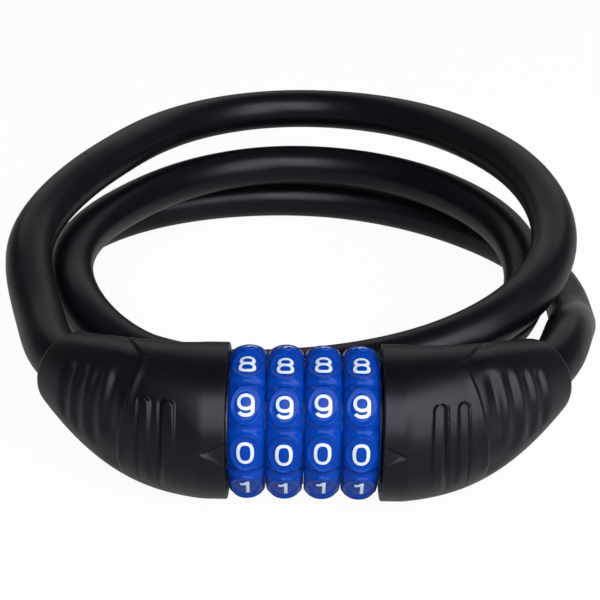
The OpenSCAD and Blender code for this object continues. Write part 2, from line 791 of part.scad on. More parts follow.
left_cover();
right_cover();
lock_insert();
plug_insert();
core_tube();
dial(1);  // dial_1
dial(2);  // dial_2
dial(3);  // dial_3
dial(4);  // dial_4
clutch_ring(1);  // clutch_ring_1
clutch_ring(2);  // clutch_ring_2
clutch_ring(3);  // clutch_ring_3
clutch_ring(4);  // clutch_ring_4
detent_spring(1);  // detent_spring_1
detent_spring(2);  // detent_spring_2
detent_spring(3);  // detent_spring_3
detent_spring(4);  // detent_spring_4
clutch_spring();
cam_washer();
reset_collar();
retaining_ring();
plug_pin();
roll_pin(plug_pin_x);  // plug_roll_pin
roll_pin(tube_pin_x);  // tube_roll_pin
left_ferrule();
right_ferrule();
left_ferrule_screw();
right_ferrule_screw();
cable_sheath();
cable_core();
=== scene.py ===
"""The looks of the combination cable lock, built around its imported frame.

Lengths are in millimetres and angles in degrees unless a name or comment says otherwise. Lengths go to
metres where a mesh is made. +X runs along the barrel towards the plug side, +Y to the coil behind it, and
+Z up.
"""

import json
import math

import bpy
import numpy as np
from mathutils import Matrix, Vector
from mathutils.geometry import delaunay_2d_cdt


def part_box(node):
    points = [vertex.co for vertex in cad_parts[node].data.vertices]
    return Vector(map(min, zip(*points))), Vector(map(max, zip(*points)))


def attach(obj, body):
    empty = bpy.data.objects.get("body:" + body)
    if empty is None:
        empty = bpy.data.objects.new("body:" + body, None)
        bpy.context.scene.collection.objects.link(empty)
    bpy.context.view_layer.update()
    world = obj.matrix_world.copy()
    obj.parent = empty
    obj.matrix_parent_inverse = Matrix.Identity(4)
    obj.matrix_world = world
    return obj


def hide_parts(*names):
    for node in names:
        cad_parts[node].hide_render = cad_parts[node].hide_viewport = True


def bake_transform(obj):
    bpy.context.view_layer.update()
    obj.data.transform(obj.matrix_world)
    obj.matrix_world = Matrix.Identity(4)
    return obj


MM = 0.001
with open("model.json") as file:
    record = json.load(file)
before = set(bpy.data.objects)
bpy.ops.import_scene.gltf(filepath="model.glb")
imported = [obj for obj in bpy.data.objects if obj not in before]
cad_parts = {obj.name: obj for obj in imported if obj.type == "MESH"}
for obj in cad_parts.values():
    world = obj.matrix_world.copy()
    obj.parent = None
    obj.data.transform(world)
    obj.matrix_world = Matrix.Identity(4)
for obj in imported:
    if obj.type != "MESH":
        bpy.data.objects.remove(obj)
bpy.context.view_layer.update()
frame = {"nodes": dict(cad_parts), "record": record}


def node_box(node):
    """Lowest and highest corner of a CAD node."""
    low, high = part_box(node)
    return np.array(low) / MM, np.array(high) / MM


# the height of what the lock lies on, where the covers are flat underneath
FLOOR_Z = node_box("left_cover")[0][2]


# ---- numbers and curves


def cosd(a):
    return np.cos(np.radians(a))


def sind(a):
    return np.sin(np.radians(a))


def unit(v):
    return v / np.linalg.norm(v)


def smooth_step(low, high, value):
    """0 up to low, 1 from high on, and a smooth climb between them."""
    t = np.clip((value - low) / (high - low), 0, 1)
    return t * t * (3 - 2 * t)


def between(value, rise, fall):
    """1 from the end of the rise to the start of the fall, 0 outside them, and smooth across both."""
    return smooth_step(*rise, value) * (1 - smooth_step(*fall, value))


def bezier(a, b, c, d, t):
    """The point at t, 0 to 1, of the cubic curve from a to d with the handles b and c."""
    return (1 - t) ** 3 * a + 3 * t * (1 - t) ** 2 * b + 3 * t * t * (1 - t) * c + t ** 3 * d


# ---- meshes


def as_mesh(name, points, faces, smooth_angle=30.0):
    """A mesh object from points, with edges sharper than smooth_angle kept sharp."""
    mesh = bpy.data.meshes.new(name)
    mesh.from_pydata((np.asarray(points, float) * MM).tolist(), [], faces)
    mesh.polygons.foreach_set("use_smooth", [True] * len(mesh.polygons))
    mesh.set_sharp_from_angle(angle=math.radians(smooth_angle))
    mesh.update()
    piece = bpy.data.objects.new(name, mesh)
    bpy.context.scene.collection.objects.link(piece)
    return piece


def grid_faces(rows, columns, wrap_rows=False, flip=False):
    """Quads of a grid of points whose columns close round."""
    faces = []
    for i in range(rows if wrap_rows else rows - 1):
        for k in range(columns):
            a = i * columns + k
            b = i * columns + (k + 1) % columns
            c = (i + 1) % rows * columns + (k + 1) % columns
            d = (i + 1) % rows * columns + k
            faces.append((d, c, b, a) if flip else (a, b, c, d))
    return faces


# ---- materials

# the stretch of a source's values over which a shader's input runs from one end to the other
SOURCE_LOW = 0.3
SOURCE_HIGH = 0.7


def set_inputs(node, values):
    """Gives a node's inputs their values, by the inputs' names with _ for a space."""
    for name, value in values.items():
        node.inputs[name.replace("_", " ")].default_value = value


def shader_of(material):
    return material.node_tree.nodes["Principled BSDF"]


def new_material(name, **inputs):
    """A material with these inputs of its shader."""
    material = bpy.data.materials.new(name)
    material.use_nodes = True
    set_inputs(shader_of(material), inputs)
    return material


def add_node(material, kind, **inputs):
    node = material.node_tree.nodes.new(kind)
    set_inputs(node, inputs)
    return node


def noise(material, scale, detail, stretch=(1, 1, 1)):
    """Noise over the piece's own coordinates, which are in metres; a larger scale is finer."""
    place = add_node(material, "ShaderNodeTexCoord")
    mapping = add_node(material, "ShaderNodeMapping", Scale=stretch)
    texture = add_node(material, "ShaderNodeTexNoise", Scale=scale, Detail=detail)
    links = material.node_tree.links
    links.new(place.outputs["Object"], mapping.inputs["Vector"])
    links.new(mapping.outputs["Vector"], texture.inputs["Vector"])
    return texture.outputs["Fac"]


def fill_ramp(ramp, stops):
    """Gives a new colour ramp its stops, from the lowest position to the highest."""
    elements = ramp.color_ramp.elements
    while len(elements) < len(stops):
        elements.new(1.0)
    for element, (position, color) in zip(elements, stops):
        element.position = position
        element.color = (*color, 1)


def vary_color(material, source, low, high):
    """Runs the base colour from low to high with a source."""
    ramp = add_node(material, "ShaderNodeValToRGB")
    fill_ramp(ramp, [(SOURCE_LOW, low), (SOURCE_HIGH, high)])
    links = material.node_tree.links
    links.new(source, ramp.inputs["Fac"])
    links.new(ramp.outputs["Color"], shader_of(material).inputs["Base Color"])


def vary_roughness(material, source, low, high):
    """Runs the roughness from low to high with a source."""
    ends = {"From_Min": SOURCE_LOW, "From_Max": SOURCE_HIGH, "To_Min": low, "To_Max": high}
    span = add_node(material, "ShaderNodeMapRange", **ends)
    links = material.node_tree.links
    links.new(source, span.inputs["Value"])
    links.new(span.outputs["Result"], shader_of(material).inputs["Roughness"])


def roughen(material, source, strength, distance):
    """Bumps of a source's heights, with their distance in metres."""
    bump = add_node(material, "ShaderNodeBump", Strength=strength, Distance=distance)
    links = material.node_tree.links
    links.new(source, bump.inputs["Height"])
    links.new(bump.outputs["Normal"], shader_of(material).inputs["Normal"])


def rubber():
    material = new_material("cover_rubber", Specular_IOR_Level=0.3, Specular_Tint=(0.88, 0.85, 1, 1))
    vary_color(material, noise(material, 60, 4), (0.0018, 0.0017, 0.0032), (0.0036, 0.0033, 0.0056))
    vary_roughness(material, noise(material, 140, 5), 0.3, 0.38)
    roughen(material, noise(material, 3200, 2), 0.2, 0.00005)
    return material


def vinyl():
    material = new_material("sheath_vinyl", Specular_IOR_Level=0.3, Specular_Tint=(0.88, 0.87, 1, 1))
    vary_color(material, noise(material, 35, 3), (0.0016, 0.0015, 0.003), (0.0032, 0.003, 0.0052))
    vary_roughness(material, noise(material, 90, 4), 0.3, 0.39)
    roughen(material, noise(material, 1800, 2), 0.12, 0.00005)
    return material


def blue_plastic():
    material = new_material("dial_plastic", Specular_IOR_Level=0.12)
    vary_color(material, noise(material, 120, 3), (0.0011, 0.04, 0.32), (0.0018, 0.05, 0.375))
    vary_roughness(material, noise(material, 260, 4), 0.12, 0.17)
    roughen(material, noise(material, 1500, 2), 0.08, 0.00004)
    return material


def white_paint():
    material = new_material("number_paint", Roughness=0.4)
    vary_color(material, noise(material, 900, 3), (0.62, 0.72, 0.86), (0.7, 0.78, 0.92))
    return material


# how a metal's polished and worn spots differ from its plain roughness, and its dull spots from its colour
POLISH = 0.75
WEAR = 1.3
DULLING = 0.86


def metal(name, color, roughness, grain=(1, 1, 1), grain_scale=900):
    """A metal whose grain is finer along each axis by the numbers of grain."""
    material = new_material(name, Metallic=1.0)
    rough_grain = noise(material, grain_scale, 4, grain)
    vary_roughness(material, rough_grain, POLISH * roughness, WEAR * roughness)
    vary_color(material, noise(material, 150, 3), tuple(DULLING * c for c in color), color)
    roughen(material, noise(material, grain_scale, 3, grain), 0.12, 0.00004)
    return material


def paint(piece, material):
    piece.data.materials.clear()
    piece.data.materials.append(material)


# ---- the camera

# the photograph's view: turned down by this elevation, towards a point behind the barrel, and rolled a little
IMAGE_SIZE = 600
ELEVATION = 25.56
CAMERA_ROLL = 0.9
VIEW_TARGET = Vector((0, 60, 0)) * MM
VIEW_DISTANCE = 376.1 * MM
# the focal length in pixels, and the pixel that the camera points at
FOCAL_PIXELS = 1448.7
CENTRE_PIXEL = (305.6, 304.7)
SENSOR = 36.0
CLIP_START = 10 * MM


def make_camera():
    data = bpy.data.cameras.new("camera")
    data.sensor_width = SENSOR
    data.lens = SENSOR * FOCAL_PIXELS / IMAGE_SIZE
    data.shift_x = (IMAGE_SIZE / 2 - CENTRE_PIXEL[0]) / IMAGE_SIZE
    data.shift_y = (CENTRE_PIXEL[1] - IMAGE_SIZE / 2) / IMAGE_SIZE
    data.clip_start = CLIP_START
    camera = bpy.data.objects.new("camera", data)
    bpy.context.scene.collection.objects.link(camera)
    tilt = math.radians(ELEVATION)
    forward = Vector((0, math.cos(tilt), -math.sin(tilt)))
    camera.location = VIEW_TARGET - VIEW_DISTANCE * forward
    level = Matrix.Rotation(math.pi / 2 - tilt, 3, "X")
    roll = Matrix.Rotation(math.radians(CAMERA_ROLL), 3, "Z")
    camera.rotation_euler = (level @ roll).to_euler()
    bpy.context.scene.camera = camera


# ---- the floor, the studio and its lamps

FLOOR_REACH = 4000.0
# the floor's colour as the camera sees it, and as it lights the lock
FLOOR_SEEN = (0.95, 0.95, 0.95)
FLOOR_LIGHTING = (0.4, 0.4, 0.4)
# the share of plain white over the floor and the studio, as the camera sees them and as they are mirrored
FLOOR_WHITE = 0.95
FLOOR_WHITE_MIRRORED = 0.22
STUDIO_WHITE = 1.0
STUDIO_WHITE_MIRRORED = 0.04
# the studio's light by the height of a direction, 0 on the horizon and 1 overhead
STUDIO = [
    (0.06, (0.3, 0.3, 0.3)),
    (0.15, (0.06, 0.06, 0.063)),
    (0.6, (0.06, 0.06, 0.063)),
    (0.85, (0.02, 0.02, 0.024)),
]
# azimuth, which is 0 on the camera's side and positive to the right, elevation, distance, width and height
# in metres, and brightness
LAMPS = {
    "front": (-3, 38, 1.1, 0.75, 0.95, 3.9),
    "right": (47, 31, 1.1, 0.75, 1.2, 3.9),
    "back": (180, 30, 1.3, 1.6, 0.7, 0.5),
}


def combined(tree, operation, first, second):
    """A node's output combined with another output or with a number."""
    node = tree.nodes.new("ShaderNodeMath")
    node.operation = operation
    tree.links.new(first, node.inputs[0])
    if isinstance(second, float):
        node.inputs[1].default_value = second
    else:
        tree.links.new(second, node.inputs[1])
    return node.outputs[0]


def shown_white(tree, source, seen_share, mirrored_share):
    """Mixes a shader with plain white: one share for the camera, one for reflections and glass."""
    path = tree.nodes.new("ShaderNodeLightPath")
    seen = combined(tree, "MULTIPLY", path.outputs["Is Camera Ray"], seen_share)
    mirrored = combined(tree, "MULTIPLY", path.outputs["Is Glossy Ray"], mirrored_share)
    refracted = combined(tree, "MULTIPLY", path.outputs["Is Transmission Ray"], mirrored_share)
    share = combined(tree, "MAXIMUM", combined(tree, "MAXIMUM", seen, mirrored), refracted)
    white = tree.nodes.new("ShaderNodeEmission")
    mix = tree.nodes.new("ShaderNodeMixShader")
    tree.links.new(share, mix.inputs["Fac"])
    tree.links.new(source, mix.inputs[1])
    tree.links.new(white.outputs[0], mix.inputs[2])
    return mix.outputs[0]


def make_stage():
    """The white floor that the lock lies on."""
    corners = [(-1, -1), (1, -1), (1, 1), (-1, 1)]
    points = [(FLOOR_REACH * x, FLOOR_REACH * y, FLOOR_Z) for x, y in corners]
    floor = as_mesh("floor", points, [(0, 1, 2, 3)])
    material = new_material("floor_white", Roughness=0.8)
    tree = material.node_tree
    seen = tree.nodes.new("ShaderNodeLightPath").outputs["Is Camera Ray"]
    vary_color(material, seen, FLOOR_LIGHTING, FLOOR_SEEN)
    surface = shown_white(tree, shader_of(material).outputs[0], FLOOR_WHITE, FLOOR_WHITE_MIRRORED)
    tree.links.new(surface, tree.nodes["Material Output"].inputs["Surface"])
    paint(floor, material)


def make_world():
    """A dim studio, darkest overhead, with the white background shown to the camera."""
    world = bpy.data.worlds.new("world")
    bpy.context.scene.world = world
    world.use_nodes = True
    tree = world.node_tree
    place = tree.nodes.new("ShaderNodeTexCoord")
    split = tree.nodes.new("ShaderNodeSeparateXYZ")
    ramp = tree.nodes.new("ShaderNodeValToRGB")
    light = tree.nodes["Background"]
    fill_ramp(ramp, STUDIO)
    tree.links.new(place.outputs["Generated"], split.inputs[0])
    tree.links.new(split.outputs["Z"], ramp.inputs["Fac"])
    tree.links.new(ramp.outputs["Color"], light.inputs["Color"])
    surface = shown_white(tree, light.outputs[0], STUDIO_WHITE, STUDIO_WHITE_MIRRORED)
    tree.links.new(surface, tree.nodes["World Output"].inputs["Surface"])


def add_lamp(name, azimuth, elevation, distance, width, height, brightness):
    """A softbox that looks at the lock; its brightness is that of its face, whatever its size."""
    data = bpy.data.lights.new(name, "AREA")
    data.shape = "RECTANGLE"
    data.size = width
    data.size_y = height
    data.energy = math.pi * width * height * brightness
    lamp = bpy.data.objects.new(name, data)
    bpy.context.scene.collection.objects.link(lamp)
    turn, lift = math.radians(azimuth), math.radians(elevation)
    out = Vector((math.sin(turn) * math.cos(lift), -math.cos(turn) * math.cos(lift), math.sin(lift)))
    lamp.location = VIEW_TARGET + distance * out
    lamp.rotation_euler = out.to_track_quat("Z", "Y").to_euler()


# ---- the cable

CABLE_D = 12.0
CABLE_SIDES = 40
# the wire rope: the length of one turn of its strands, and the depth between them as a share of its radius
ROPE_D = 6.0
ROPE_SIDES = 24
STRANDS = 6
ROPE_LAY = 45.0
ROPE_GROOVE = 0.1

# the mouth of the plug-side cover, and the turn of the cable in it; the lock side is its mirror image
BEND_START = 21.0
MOUTH_REACH = 33.6
MOUTH_BACK = 17.5
MOUTH_RISE = 3.0
MOUTH = np.array([BEND_START + MOUTH_REACH, MOUTH_BACK, MOUTH_RISE])
MOUTH_TURN = 48.0
# the lead, which bends from the ferrule's turn to its own, and climbs a little beyond the mouth
LEAD_RADIUS = 36.0
LEAD_TURN = 75.0
LEAD_CLIMB = 0.5
FERRULE_TURN = 38.0
FERRULE_TILT = 6.0
FERRULE_DEPTH = 12.0

# the coil: reach from its centre and lift above the floor at every eighth of a turn
COIL_CENTRE = (-5.0, 67.0)
COIL_STEP = 45.0
COIL = np.array([
    [67.5, 21], [75.5, 28], [107, 27.5], [85, 30], [69, 23], [54, 16], [39, 8], [46.5, 8],
    [56.5, 12.5], [72.5, 13], [92.5, 13.5], [81, 12.5], [61, 6], [39.5, 1.5], [27, 0],
    [31.5, 0], [52.5, 0], [89.5, 0], [98, 0], [89.5, 0], [75.5, 1.5],
])
# the turns at which the links from the two leads meet the coil
LOOP_START = 5.0
LOOP_END = 890.0

# points on a lead, turn from one point of the coil to the next, and steps of the links between them
LEAD_POINTS = 13
LOOP_STEP = 3.0
LINK_STEPS = 19
# step of the finished line, how often it is eased, and how many of its points stay as they are at each end
PATH_STEP = 2.5
EASE_PASSES = 6
EASE_MARGIN = 6


def mirrored(p):
    """The same point on the lock's side."""
    return np.array([-p[0], p[1], p[2]])


def on_lead(turn):
    """A point of the plug's lead, which turns from the ferrule out of the mouth, at its turn from +X."""
    if turn < MOUTH_TURN:
        climb = LEAD_RADIUS * math.radians(turn - MOUTH_TURN) * math.tan(math.radians(FERRULE_TILT))
    else:
        climb = LEAD_CLIMB * (turn - MOUTH_TURN) / (LEAD_TURN - MOUTH_TURN)
    return MOUTH + np.array([
        LEAD_RADIUS * (sind(turn) - sind(MOUTH_TURN)),
        LEAD_RADIUS * (cosd(MOUTH_TURN) - cosd(turn)),
        climb,
    ])


def loop_point(turn):
    """A point of the coil at a turn, on the smooth curve through the points of COIL."""
    last = len(COIL) - 1
    i = min(int(turn // COIL_STEP), last - 1)
    a = COIL[i - 1] if i > 0 else 2 * COIL[0] - COIL[1]
    b, c = COIL[i], COIL[i + 1]
    d = COIL[i + 2] if i + 2 <= last else 2 * COIL[last] - COIL[last - 1]
    t = turn / COIL_STEP - i
    reach, lift = (
        2 * b + (c - a) * t + (2 * a - 5 * b + 4 * c - d) * t ** 2 + (3 * b - a - 3 * c + d) * t ** 3
    ) / 2
    return np.array([
        COIL_CENTRE[0] - reach * cosd(turn),
        COIL_CENTRE[1] + reach * sind(turn),
        FLOOR_Z + CABLE_D / 2 + lift,
    ])


def loop_dir(turn):
    return unit(loop_point(turn + 0.01) - loop_point(turn))


def link(start, start_dir, end, end_dir):
    """The points between two ends of the cable, on a curve that leaves both in their directions."""
    handle = np.linalg.norm(end - start) / 3
    return [
        bezier(start, start + handle * start_dir, end - handle * end_dir, end, i / LINK_STEPS)
        for i in range(1, LINK_STEPS)
    ]


def evened(points):
    """The same line with points at even steps, its small kinks eased."""
    run = np.r_[0, np.cumsum(np.linalg.norm(np.diff(points, axis=0), axis=1))]
    even = np.linspace(0, run[-1], int(run[-1] / PATH_STEP) + 1)
    line = np.stack([np.interp(even, run, points[:, k]) for k in range(3)], axis=1)
    for _ in range(EASE_PASSES):
        middle = (line[:-2] + 2 * line[1:-1] + line[2:]) / 4
        line[1 + EASE_MARGIN:-1 - EASE_MARGIN] = middle[EASE_MARGIN:-EASE_MARGIN]
    return line


def cable_route():
    """The cable's centreline from the lock's ferrule round the coil to the plug's ferrule."""
    ferrule_dir = np.array([
        cosd(FERRULE_TURN) * cosd(FERRULE_TILT),
        sind(FERRULE_TURN) * cosd(FERRULE_TILT),
        sind(FERRULE_TILT),
    ])
    socket = on_lead(FERRULE_TURN) - FERRULE_DEPTH * ferrule_dir
    lead = [socket, socket + FERRULE_DEPTH / 2 * ferrule_dir]
    lead += [on_lead(turn) for turn in np.linspace(FERRULE_TURN, LEAD_TURN, LEAD_POINTS)]
    lead_dir = unit(lead[-1] - on_lead(LEAD_TURN - 1))
    start, end = loop_point(LOOP_START), loop_point(LOOP_END)
    points = [mirrored(p) for p in lead]
    points += link(mirrored(lead[-1]), mirrored(lead_dir), start, loop_dir(LOOP_START))
    points += [loop_point(turn) for turn in np.arange(LOOP_START, LOOP_END + LOOP_STEP / 2, LOOP_STEP)]
    points += link(end, loop_dir(LOOP_END), lead[-1], -lead_dir)
    points += lead[::-1]
    return evened(np.array(points))


def swept(name, line, radius_at, sides):
    """A closed round tube along a line, whose radius may change with the step and the angle in radians."""
    ahead = np.gradient(line, axis=0)
    ahead /= np.linalg.norm(ahead, axis=1, keepdims=True)
    across = np.cross([0, 0, 1], ahead)
    across /= np.linalg.norm(across, axis=1, keepdims=True)
    up = np.cross(ahead, across)
    angle = np.linspace(0, 2 * math.pi, sides, endpoint=False)
    radius = np.broadcast_to(radius_at(np.arange(len(line))[:, None], angle), (len(line), sides))
    rings = (
        line[:, None]
        + (radius * np.cos(angle))[..., None] * across[:, None]
        + (radius * np.sin(angle))[..., None] * up[:, None]
    )
    faces = grid_faces(len(line), sides)
    last = (len(line) - 1) * sides
    faces.append(tuple(reversed(range(sides))))
    faces.append(tuple(range(last, last + sides)))
    return as_mesh(name, rings.reshape(-1, 3), faces, smooth_angle=40)


def sheath_radius(step, angle):
    return CABLE_D / 2


def rope_radius(step, angle):
    """Radius of the wire rope, whose strands wind round it."""
    twist = 2 * math.pi * step * PATH_STEP / ROPE_LAY
    return ROPE_D / 2 * (1 - ROPE_GROOVE * (1 - np.abs(np.cos(STRANDS / 2 * (angle - twist)))))


def make_cable():
    """The sheath and its rope, along one route from the lock's ferrule round the coil to the plug's."""
    line = cable_route()
    sheath = swept("cable_sheath_look", line, sheath_radius, CABLE_SIDES)
    paint(sheath, vinyl())
    rope = swept("cable_rope_look", line, rope_radius, ROPE_SIDES)
    paint(rope, metal("rope_steel", (0.5, 0.5, 0.51), 0.35))
    for piece, slot in ((sheath, "sheath_vinyl"), (rope, "rope_steel")):
        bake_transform(piece)
    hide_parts("cable_sheath")
    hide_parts("cable_core")


# ---- the covers, whose run is the distance along them from the start of their bend

COVER_R = 17.4
MOUTH_R = 9.2
COVER_WALL = 2.1
MOUTH_WALL = 2.9
COVER_SIDES = 288
ROW_STEP = 0.11
BORE_ROWS = 40
# the rounded edges of the face, of the mouth and of the mouth's lip
FACE_ROUND = 0.35
MOUTH_ROUND = 1.1
LIP_ROUND = 0.5
# where the bore starts behind the lip, as a share of the bend, and how late its wall thickens to the mouth's
BORE_START = 0.97
WALL_POWER = 8
# the handles of the bend's curve, as shares of its reach
BEND_HANDLES = (0.28, 0.5)
# how a cover's width and height go from the barrel's to the mouth's
WIDTH_POWER = 0.7
WIDTH_START = 0.05
HEIGHT_POWER = 2.85
# millimetres along the skin for one degree round the cover
MM_PER_DEGREE = COVER_R * math.pi / 180


def bend_axis(t):
    """The middle of a cover's bend, seen from above, at a share t of its curve."""
    t = np.asarray(t, float)[..., None]
    start, end = np.array([BEND_START, 0.0]), MOUTH[:2]
    reach = np.linalg.norm(end - start)
    mouth_dir = np.array([cosd(MOUTH_TURN), sind(MOUTH_TURN)])
    handle_a = start + BEND_HANDLES[0] * reach * np.array([1.0, 0])
    handle_b = end - BEND_HANDLES[1] * reach * mouth_dir
    return bezier(start, handle_a, handle_b, end, t)


SHARES = np.linspace(0, 1, 400)
RUNS = np.r_[0, np.cumsum(np.linalg.norm(np.diff(bend_axis(SHARES), axis=0), axis=1))]
BEND_LENGTH = RUNS[-1]


def narrowing(t):
    """How far a cover has narrowed from the barrel's width, 0, to the mouth's, 1, with a soft start."""
    start = WIDTH_START ** WIDTH_POWER
    reach = (1 + WIDTH_START ** 2) ** (WIDTH_POWER / 2) - start
    return ((t * t + WIDTH_START ** 2) ** (WIDTH_POWER / 2) - start) / reach


def cover_point(run, angle, depth):
    """A point of the plug's cover at a run, an angle up from the front and a depth under the skin."""
    run, angle, depth = np.broadcast_arrays(run, angle, depth)
    t = np.interp(run, RUNS, SHARES)
    step = bend_axis(np.minimum(t + 1e-3, 1)) - bend_axis(np.maximum(t - 1e-3, 0))
    step /= np.linalg.norm(step, axis=-1, keepdims=True)
    wide = COVER_R - (COVER_R - MOUTH_R) * narrowing(t) - depth
    high = COVER_R - (COVER_R - MOUTH_R) * t ** HEIGHT_POWER - depth
    axis = bend_axis(t)
    side = wide * cosd(angle)
    x = axis[..., 0] + side * step[..., 1] + np.minimum(run, 0)
    y = axis[..., 1] - side * step[..., 0]
    z = MOUTH_RISE * t * t + high * sind(angle)
    return np.stack([x, y, np.maximum(z, FLOOR_Z)], axis=-1)


# straight grip ribs: run, half width, low and high angle, and the widths of the near and the far flank,
# where near is towards the dials
RIBS = [(5.7, 1.25, -40, 40, 0.5, 0.8), (9.6, 1.1, -36, 38, 0.7, 0.4)]
RIB_HEIGHT = 0.7
# a rib's lower part fades to this share of its height
RIB_FAINT = 0.35
RIB_FADE = (-40, -10)
# the angle at which the ribs come nearest to the dials, and how fast they bow away from there
RIB_MIDDLE = 8
RIB_BOW = 0.0004
# the fine groove along the foot of a rib's far flank, its depth as a share of the rib's height
FOOT_HALF = 0.22
FOOT_DEPTH = 0.5


def bar(across, ends, half, near, far):
    """Height, 0 to 1, of a flat bar with round ends, two flanks and a fine groove at its far foot.

    across is the distance from its middle line, and ends the distance from its nearer end.
    """
    room = np.clip(ends / half, 0, 1)
    reach = half * np.sqrt(1 - (1 - room) ** 2)
    up = smooth_step(0, near, across + reach)
    down = smooth_step(0, far, reach - across)
    foot = np.exp(-(((across - reach - FOOT_HALF) / FOOT_HALF) ** 2)) * smooth_step(0, half, ends)
    return np.where(ends > 0, np.minimum(up, down) - FOOT_DEPTH * foot, 0)


def rib_lift(run, angle):
    """How far the straight grip ribs stand out."""
    height = RIB_HEIGHT * (RIB_FAINT + (1 - RIB_FAINT) * smooth_step(*RIB_FADE, angle))
    bow = RIB_BOW * (angle - RIB_MIDDLE) ** 2
    return sum(
        height * bar(run - at - bow, np.minimum(angle - low, high - angle) * MM_PER_DEGREE, half, near, far)
        for at, half, low, high, near, far in RIBS
    )


# the panel beyond the slanted edge, which is given as a run at each angle
PANEL_ANGLES = [-60, -27, 5, 27, 43, 55, 73, 85, 97, 115]
PANEL_EDGE = [16.2, 15.3, 14.3, 13.5, 13.1, 12.7, 12.5, 15.6, 18.8, 23.0]
# the panel's step down, half the run that the step takes, the run until the panel is level again, and the
# angles over which the step runs out below and above
PANEL_STEP = 0.65
STEP_HALF = 0.3
PANEL_RISE = 8.0
PANEL_LOW_END = (-44, -24)
PANEL_HIGH_END = (98, 112)
# the raised line along the edge: its height, its flanks before and beyond the edge, and where it runs out
EDGE_HEIGHT = 0.3
EDGE_BEFORE = 1.6
EDGE_BEYOND = 0.5
EDGE_LOW_END = (-36, -20)
EDGE_HIGH_END = (66, 76)


def panel_lift(run, angle):
    """How far the slanted edge stands out, less how far the panel beyond it lies in."""
    beyond = run - np.interp(angle, PANEL_ANGLES, PANEL_EDGE)
    sunk = smooth_step(-STEP_HALF, STEP_HALF, beyond) - smooth_step(STEP_HALF, PANEL_RISE, beyond)
    edge = between(beyond, (-EDGE_BEFORE, 0), (0, EDGE_BEYOND))
    return (
        EDGE_HEIGHT * edge * between(angle, EDGE_LOW_END, EDGE_HIGH_END)
        - PANEL_STEP * sunk * between(angle, PANEL_LOW_END, PANEL_HIGH_END)
    )


# the dark troughs between the panel's ribs: run, low and high angle
TROUGHS = [(16.8, -8, 62), (20.5, -22, 60), (24.6, -22, 58), (28.3, -18, 55)]
TROUGH_HALF = 1.25
TROUGH_DEPTH = 0.75
# the angle over which a trough runs out at its low and its high end
TROUGH_LOW_FADE = 22
TROUGH_HIGH_FADE = 16


def trough_depth(run, angle):
    """How far the troughs go in."""
    return sum(
        TROUGH_DEPTH * np.exp(-(((run - at) / TROUGH_HALF) ** 2))
        * between(angle, (low, low + TROUGH_LOW_FADE), (high - TROUGH_HIGH_FADE, high))
        for at, low, high in TROUGHS
    )


# the index mark, a triangle cut in from the face: the run of its point, its length, the angle of its middle
# and the angle that is half its width at the face
MARK_END = 1.2
MARK_LENGTH = 5.6
MARK_ANGLE = 4.6
MARK_SPREAD = 9.6
# its depth along its upper side, the share of that along its lower side, and the width of its flanks
MARK_DEPTH = 0.9
MARK_SHALLOW = 0.25
MARK_FLANK = 0.5


def mark_depth(run, angle):
    """How far the index mark goes in."""
    width = MARK_SPREAD * np.clip((MARK_END - run) / MARK_LENGTH, 1e-3, 1)
    up = (angle - MARK_ANGLE) / width
    slope = MARK_SHALLOW + (1 - MARK_SHALLOW) * np.clip((up + 1) / 2, 0, 1)
    return MARK_DEPTH * slope * smooth_step(0, MARK_FLANK, (1 - np.abs(up)) * width * MM_PER_DEGREE)


def cover_relief(run, angle):
    """How far the skin stands out from the plain bend."""
    angle = np.where(angle > 180, angle - 360, angle)
    return rib_lift(run, angle) + panel_lift(run, angle) - trough_depth(run, angle) - mark_depth(run, angle)


def quarter_round(radius, steps):
    """How far each point of a rounded edge lies in from the end and from the side, from side to end."""
    return [(radius * (1 - sind(a)), radius * (1 - cosd(a))) for a in np.linspace(0, 90, steps)]


def cover_rings(face):
    """The rings of a cover's shell: run, depth under the skin, and 1 where the relief counts, or else 0."""
    rings = [(face, COVER_WALL, 0)]
    rings += [(face + end, side, 1) for end, side in reversed(quarter_round(FACE_ROUND, 6))]
    skin = np.arange(face + FACE_ROUND + ROW_STEP, BEND_LENGTH - MOUTH_ROUND, ROW_STEP)
    rings += [(run, 0, 1) for run in skin]
    rings += [(BEND_LENGTH - end, side, 1) for end, side in quarter_round(MOUTH_ROUND, 8)]
    rings += [(BEND_LENGTH - side, MOUTH_WALL - end, 0) for end, side in quarter_round(LIP_ROUND, 5)]
    for share in np.linspace(BORE_START, 0, BORE_ROWS):
        wall = COVER_WALL + (MOUTH_WALL - COVER_WALL) * share ** WALL_POWER
        rings.append((np.interp(share, SHARES, RUNS), wall, 0))
    return rings


def make_cover(side, material):
    """One cover as a closed shell; side is 1 for the plug's and -1 for the lock's."""
    node = "right_cover" if side > 0 else "left_cover"
    low, high = node_box(node)
    face = (low[0] if side > 0 else -high[0]) - BEND_START
    angle = np.linspace(0, 360, COVER_SIDES, endpoint=False)[None, :]
    rings = cover_rings(face)
    run, depth, relief = np.array(rings).T[..., None]
    points = cover_point(run, angle, depth - relief * cover_relief(run, angle)).reshape(-1, 3)
    points[:, 0] *= side
    faces = grid_faces(len(rings), COVER_SIDES, wrap_rows=True, flip=side < 0)
    cover = as_mesh(node + "_look", points, faces, smooth_angle=50)
    paint(cover, material)
    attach(cover, "plug_body" if side > 0 else "lock_body")
    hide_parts(node)


# ---- the dials

DIALS = 4
DIGITS = 10
DIGIT_TURN = 360 / DIGITS
DIAL_SIDES = 720
DIAL_ROWS = 44
BORE_R = 11.4
